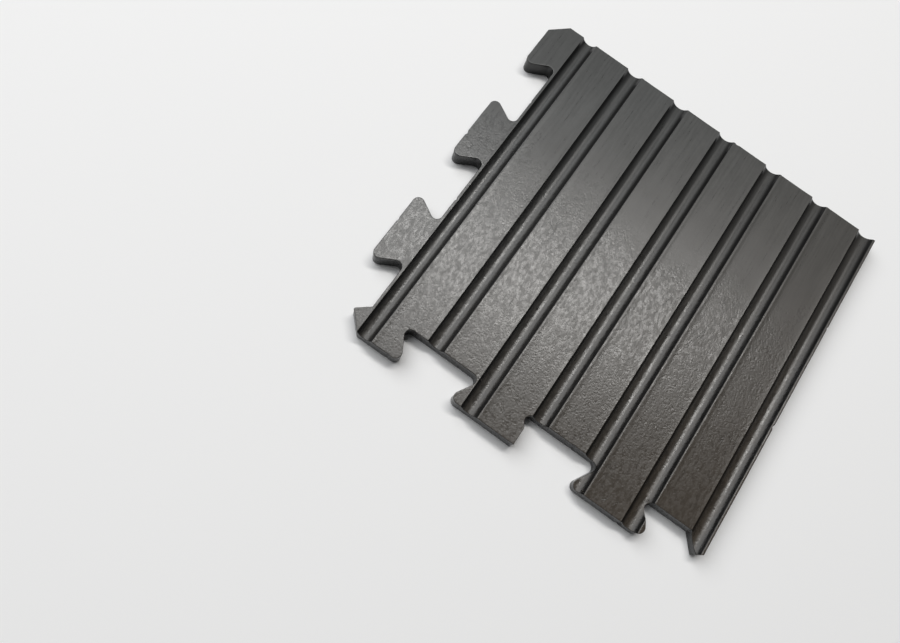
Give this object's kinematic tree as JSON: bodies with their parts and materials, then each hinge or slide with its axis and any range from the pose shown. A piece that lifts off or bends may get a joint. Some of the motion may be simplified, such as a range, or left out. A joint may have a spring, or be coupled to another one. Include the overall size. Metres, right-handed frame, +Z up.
{
  "type": "rubber stall mat",
  "caption": "Cut piece of interlocking rubber stall mat: flat sheet with round-bottomed drain channels across its face and dovetail tabs and sockets along two edges.",
  "frame": {"origin": "middle of the outline's bounding box, on the flat underside", "axes": "+Z up out of the channelled face; +Y along the channels towards the plain far edge; -X towards the tabbed left edge; -Y towards the tabbed near edge"},
  "size_m": [0.3022, 0.2986, 0.0135],
  "materials": {
    "rubber": "moulded black rubber, satin, lightly scuffed"
  },
  "bodies": {
    "root": {"stall_mat": "rubber"}
  },
  "joints": []
}
